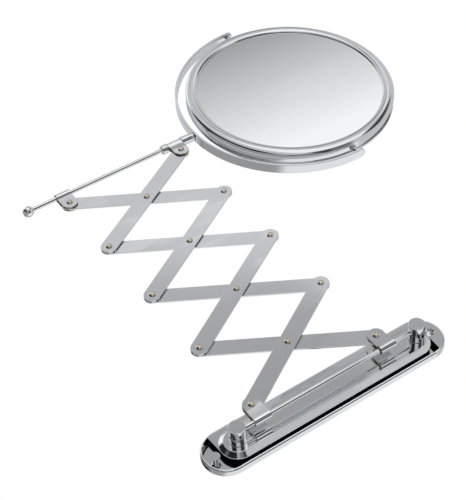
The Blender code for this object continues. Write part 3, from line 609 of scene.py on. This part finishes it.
def make_yoke():
    """A flat band bent to a half ring, with soft edges and round ends past the pivots."""
    inner = YOKE_RADIUS - YOKE_THICKNESS
    past = YOKE_END / YOKE_RADIUS
    half = YOKE_WIDTH / 2
    section = rounded([(inner, 0.0), (inner, half), (YOKE_RADIUS, half), (YOKE_RADIUS, 0.0)],
                      [0, 0.5 * MM, 0.5 * MM, 0], 4)
    section += [(r, -y) for r, y in reversed(section)][1:-1]
    bm = bmesh.new()
    steps = 168
    first, last = math.pi - past, TURN + past
    rings = []
    for k in range(steps + 1):
        angle = first + (last - first) * k / steps
        past_pivot = max(angle - TURN, math.pi - angle) * YOKE_RADIUS
        over = max(0.0, past_pivot - (YOKE_END - half))
        squeeze = math.sqrt(max(0.0, 1.0 - (over / half) ** 2))
        squeeze = max(squeeze, 0.06)
        turn = Matrix.Rotation(angle, 4, "Z")
        ring = [bm.verts.new(turn @ Vector((r, 0.0, y * squeeze))) for r, y in section]
        rings.append([bm.edges.new((ring[j - 1], ring[j])) for j in range(len(ring))])
        if k in (0, steps):
            bm.faces.new(ring)
    bridge_rows(bm, rings)
    piece = finish_piece(bm, "yoke_band", RIM_CHROME, "mirror_carrier", ["yoke"],
                         CARRIER @ Matrix.Translation((0, 0, MIRROR_RISE)) @ FACE_OUT,
                         sharp=math.radians(50))
    keep_flats_flat(piece)


# ---- mirror head -----------------------------------------------------------------------------
HEAD_RADIUS = 100.0 * MM
HEAD_HALF = 8.25 * MM
BAND_RADIUS = 98.9 * MM
BAND_HALF = 3.6 * MM
BAND_WALL = 2.0 * MM
WINDOW = 89.2 * MM                  # radius of the glass that is seen
CREST = 93.8 * MM                   # radius of the bezel's highest line
SHOULDER = 4.25 * MM                # height at which its outer curve meets the rim
LIP = 1.9 * MM
SHEET = 1.2 * MM
GLASS_RADIUS = 95.8 * MM
GLASS_THICKNESS = 2.0 * MM
GLASS_EDGE_ROUND = 0.4 * MM
MAGNIFIER_SPHERE = 760.0 * MM       # radius that the hollow glass is bent to
BACK_TURN = Matrix.Rotation(-math.pi / 2, 4, "X")


def quarter(radius, height, across, up, count=10):
    """A quarter of an ellipse from its side to its top, round (radius, height)."""
    turns = [math.pi / 2 * k / count for k in range(count + 1)]
    return [(radius + across * math.cos(turn), height + up * math.sin(turn)) for turn in turns]


def make_bezel(name, node, turn):
    """A rolled ring: it swells from the glass to a crest and falls away to the rim."""
    back = BAND_HALF + GAP
    foot = HEAD_HALF - LIP
    inward = CREST - WINDOW
    outward = HEAD_RADIUS - CREST
    drop = HEAD_HALF - SHOULDER
    outside = (quarter(CREST, foot, -inward, LIP)
               + quarter(CREST, SHOULDER, outward, drop)[-2::-1]
               + [(HEAD_RADIUS, back)])
    inside = ([(HEAD_RADIUS - SHEET, back)]
              + quarter(CREST, SHOULDER, outward - SHEET, drop - SHEET)
              + quarter(CREST, foot, SHEET - inward, LIP - SHEET)[-2::-1])
    bm = spun(outside + inside, 256, closed=True)
    finish_piece(bm, name, RIM_CHROME, "mirror_head", [node], HEAD @ turn)


def make_head():
    make_bezel("front_bezel_ring", "front_bezel", FACE_OUT)
    make_bezel("back_bezel_ring", "back_bezel", BACK_TURN)
    edge = 0.2 * MM
    inner = BAND_RADIUS - BAND_WALL
    band = rounded([(inner, BAND_HALF), (BAND_RADIUS, BAND_HALF), (BAND_RADIUS, -BAND_HALF),
                    (inner, -BAND_HALF)], [0, edge, edge, 0], 3)
    finish_piece(spun(band, 256, closed=True), "head_side_band", RIM_CHROME, "mirror_head",
                 ["head_band"], HEAD @ FACE_OUT)
    face = HEAD_HALF - LIP - GAP
    back = face - GLASS_THICKNESS
    plain = rounded([(0.0, face), (GLASS_RADIUS, face), (GLASS_RADIUS, back), (0.0, back)],
                    [0, GLASS_EDGE_ROUND, GLASS_EDGE_ROUND, 0], 2)
    piece = finish_piece(spun(plain, 192), "plain_glass_disc", SILVERED, "mirror_head",
                         ["plain_glass"], HEAD @ FACE_OUT)
    keep_flats_flat(piece)
    steps = 24
    radii = [GLASS_RADIUS * k / steps for k in range(steps + 1)]
    centre = face + math.sqrt(MAGNIFIER_SPHERE ** 2 - GLASS_RADIUS ** 2)
    hollow = [(radius, centre - math.sqrt(MAGNIFIER_SPHERE ** 2 - radius ** 2)) for radius in radii]
    dished = hollow + [(r, z - GLASS_THICKNESS) for r, z in reversed(hollow)]
    finish_piece(spun(dished, 192), "magnifying_glass_disc", SILVERED, "mirror_head",
                 ["magnifying_glass"], HEAD @ BACK_TURN)


make_wall_plate()
make_post("lower_post_turned", "lower_post", LOWER_POST_Z)
make_post("upper_post_turned", "upper_post", UPPER_POST_Z)
make_rod("wall_rod_bar", "wall_rod", "wall_mount", LOWER_POST_Z - WALL_ROD_SEAT,
         UPPER_POST_Z + WALL_ROD_SEAT, Matrix.Translation((0, ARM_Y, 0)))
make_arm()
make_carrier()
make_yoke()
make_head()

NODE_FINISH = {
    "lower_post_screw": SCREW_STEEL, "upper_post_screw": SCREW_STEEL,
    "collar_grub_screw": SCREW_STEEL, "shank_grub_screw": SCREW_STEEL,
    "yoke_screw": SCREW_STEEL, "pivot_pin_left": CHROME, "pivot_pin_right": CHROME,
    "pivot_washer_left": NYLON, "pivot_washer_right": NYLON, "glass_spacer": NYLON,
    "backing_pad": FOAM,
}
for node, finish in NODE_FINISH.items():
    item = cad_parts[node]
    item.data.materials.clear()
    item.data.materials.append(finish)


# ---- studio ------------------------------------------------------------------------------------
def make_world():
    """A white room for the camera; round it soft grey and white panels that the chrome mirrors."""
    world = bpy.data.worlds.new("studio")
    bpy.context.scene.world = world
    world.use_nodes = True
    tree = world.node_tree
    tree.nodes.clear()
    out = add(tree, "ShaderNodeOutputWorld")
    way = add(tree, "ShaderNodeSeparateXYZ")
    feed(tree, add(tree, "ShaderNodeTexCoord").outputs["Generated"], way, "Vector")
    across = number(tree, "MULTIPLY", way.outputs["Y"], -1.0)
    azimuth = number(tree, "MULTIPLY", number(tree, "ARCTAN2", way.outputs["X"], across),
                     180 / math.pi)
    height = number(tree, "MULTIPLY", number(tree, "ARCSINE", way.outputs["Z"], 0.0), 180 / math.pi)
    shade = [None]

    def panel(first, last, ramp, left, right, low, high, soft=(2.0, 2.0), lean=0.0):
        """A soft-edged panel; its brightness runs from first to last over the ramp's azimuths."""
        skewed = azimuth
        if lean:
            skewed = number(tree, "SUBTRACT", azimuth, number(
                tree, "MULTIPLY", number(tree, "SUBTRACT", height, high), lean))
        mask = None
        sides = ((skewed, left, right, soft[0]), (height, low, high, soft[1]))
        for value, start, end, blur in sides:
            rise = spread(tree, value, start - blur / 2, start + blur / 2)
            fall = spread(tree, value, end + blur / 2, end - blur / 2)
            both = number(tree, "MULTIPLY", rise, fall)
            mask = both if mask is None else number(tree, "MULTIPLY", mask, both)
        level = spread(tree, azimuth, ramp[0], ramp[1], first, last, smooth=False)
        mix = add(tree, "ShaderNodeMix", data_type="FLOAT")
        feed(tree, mask, mix, "Factor")
        if shade[0] is None:
            mix.inputs["A"].default_value = ROOM_LEVEL
        else:
            feed(tree, shade[0], mix, "A")
        feed(tree, level, mix, "B")
        shade[0] = mix.outputs["Result"]

    for row in STUDIO_PANELS:
        panel(*row)
    tint = add(tree, "ShaderNodeMix", data_type="RGBA", blend_type="MULTIPLY")
    tint.inputs["Factor"].default_value = 1.0
    tint.inputs["B"].default_value = (0.985, 0.995, 1.01, 1.0)
    feed(tree, shade[0], tint, "A")
    light = add(tree, "ShaderNodeBackground")
    feed(tree, tint.outputs["Result"], light, "Color")
    seen = add(tree, "ShaderNodeBackground")
    seen.inputs["Color"].default_value = (1.0, 1.0, 1.0, 1.0)
    choose = add(tree, "ShaderNodeMixShader")
    feed(tree, add(tree, "ShaderNodeLightPath").outputs["Is Camera Ray"], choose, "Fac")
    tree.links.new(light.outputs[0], choose.inputs[1])
    tree.links.new(seen.outputs[0], choose.inputs[2])
    tree.links.new(choose.outputs[0], out.inputs["Surface"])


# The studio round the object.  Each panel: brightness at its left and right, the azimuths that
# this ramp runs over, its left, right, low and high edges, softness, and lean, in degrees.
# Azimuth 0 is in front of the wall, 90 is its right side and 180 is behind it.
ROOM_LEVEL = 0.62
STUDIO_PANELS = (
    (0.36, 0.36, (-180, 180), -400, 400, -100, -30, (1, 16)),            # grey table
    (0.02, 0.02, (-180, 180), -90, 44, -60, -30, (8, 4)),                # its black front edge
    (1.15, 1.15, (-180, 180), -112, -74, -24, 14, (10, 8)),              # left window
    (0.02, 0.02, (-180, 180), -166, -137, -32, 14, (6, 8)),              # gap behind it
    (0.56, 0.56, (-180, 180), 156, 400, -20, 34, (12, 12)),              # back of the room
    (0.90, 0.90, (-180, 180), 94, 152, -30, 34, (8, 8)),                 # right window
    (0.18, 0.18, (-180, 180), 46, 90, -34, 2, (8, 6)),                   # right curtain
    (0.05, 0.05, (-180, 180), 24, 88, -2, 30, (12, 4)),                  # doorway
    (0.62, 0.62, (-180, 180), 49, 58, 10, 34, (2, 4)),                   # light through it
    (0.06, 0.06, (-180, 180), -30, 24, 38, 58, (8, 5)),                  # beam over the front
    (1.10, 1.00, (-30, 20), -33, 20, 0, 24.5, (3, 5)),                   # front screen
    (0.34, 1.00, (-47.6, -40.6), -78, 12, 24.5, 38, (8, 1.2)),           # upper left screen
    (0.42, 0.42, (-180, 180), -37.5, -26, 24.5, 36, (1.2, 1.2)),         # its dimmer end
    (0.52, 0.36, (-43, -33), -78, -31, 6, 24.5, (4, 1.2)),               # lower left screen
    (0.57, 0.78, (-53, -42), -78, -39.6, 6, 24.2, (0.8, 1.0), 0.58),     # its brighter part
)


def make_floor():
    bm = bmesh.new()
    bmesh.ops.create_circle(bm, cap_ends=True, segments=64, radius=4.0)
    bmesh.ops.translate(bm, vec=(0, 0, -0.85), verts=bm.verts)
    mesh = bpy.data.meshes.new("studio_floor")
    bm.to_mesh(mesh)
    bm.free()
    material = bpy.data.materials.new("pale_floor")
    material.use_nodes = True
    tree = material.node_tree
    shader = tree.nodes["Principled BSDF"]
    cloud = noise(tree, add(tree, "ShaderNodeTexCoord").outputs["Object"], 6.0, 4.0)
    tone = add(tree, "ShaderNodeMix", data_type="RGBA")
    tone.inputs["A"].default_value = (0.80, 0.80, 0.80, 1.0)
    tone.inputs["B"].default_value = (0.84, 0.84, 0.84, 1.0)
    feed(tree, cloud, tone, "Factor")
    feed(tree, tone.outputs["Result"], shader, "Base Color")
    shader.inputs["Roughness"].default_value = 0.8
    mesh.materials.append(material)
    floor = bpy.data.objects.new("studio_floor", mesh)
    bpy.context.scene.collection.objects.link(floor)
    floor.visible_glossy = False


def make_key_light():
    data = bpy.data.lights.new("soft_key", "AREA")
    data.shape = "DISK"
    data.size = 1.6
    data.energy = 12.0
    lamp = bpy.data.objects.new("soft_key", data)
    bpy.context.scene.collection.objects.link(lamp)
    place = Vector((0.4, -1.4, 1.8))
    aim = (place - Vector((-0.2, 0.0, 0.05))).to_track_quat("Z", "Y").to_matrix().to_4x4()
    lamp.matrix_world = Matrix.Translation(place) @ aim
    lamp.visible_glossy = False
    lamp.visible_camera = False


def make_camera():
    data = bpy.data.cameras.new("studio_camera")
    data.lens = 86.606
    data.sensor_width = 36.0
    data.sensor_fit = "AUTO"
    data.clip_start = 0.01
    camera = bpy.data.objects.new("studio_camera", data)
    bpy.context.scene.collection.objects.link(camera)
    right = Vector((0.55474, 0.05996, 0.82986)).normalized()
    back = Vector((0.62385, -0.68992, -0.36718)).normalized()
    up = back.cross(right).normalized()
    right = up.cross(back)
    turn = Matrix((right, up, back)).transposed().to_4x4()
    camera.matrix_world = Matrix.Translation((0.46666, -0.71080, -0.34580)) @ turn
    bpy.context.scene.camera = camera


make_world()
make_floor()
make_key_light()
make_camera()
bpy.context.scene.view_settings.view_transform = "Standard"
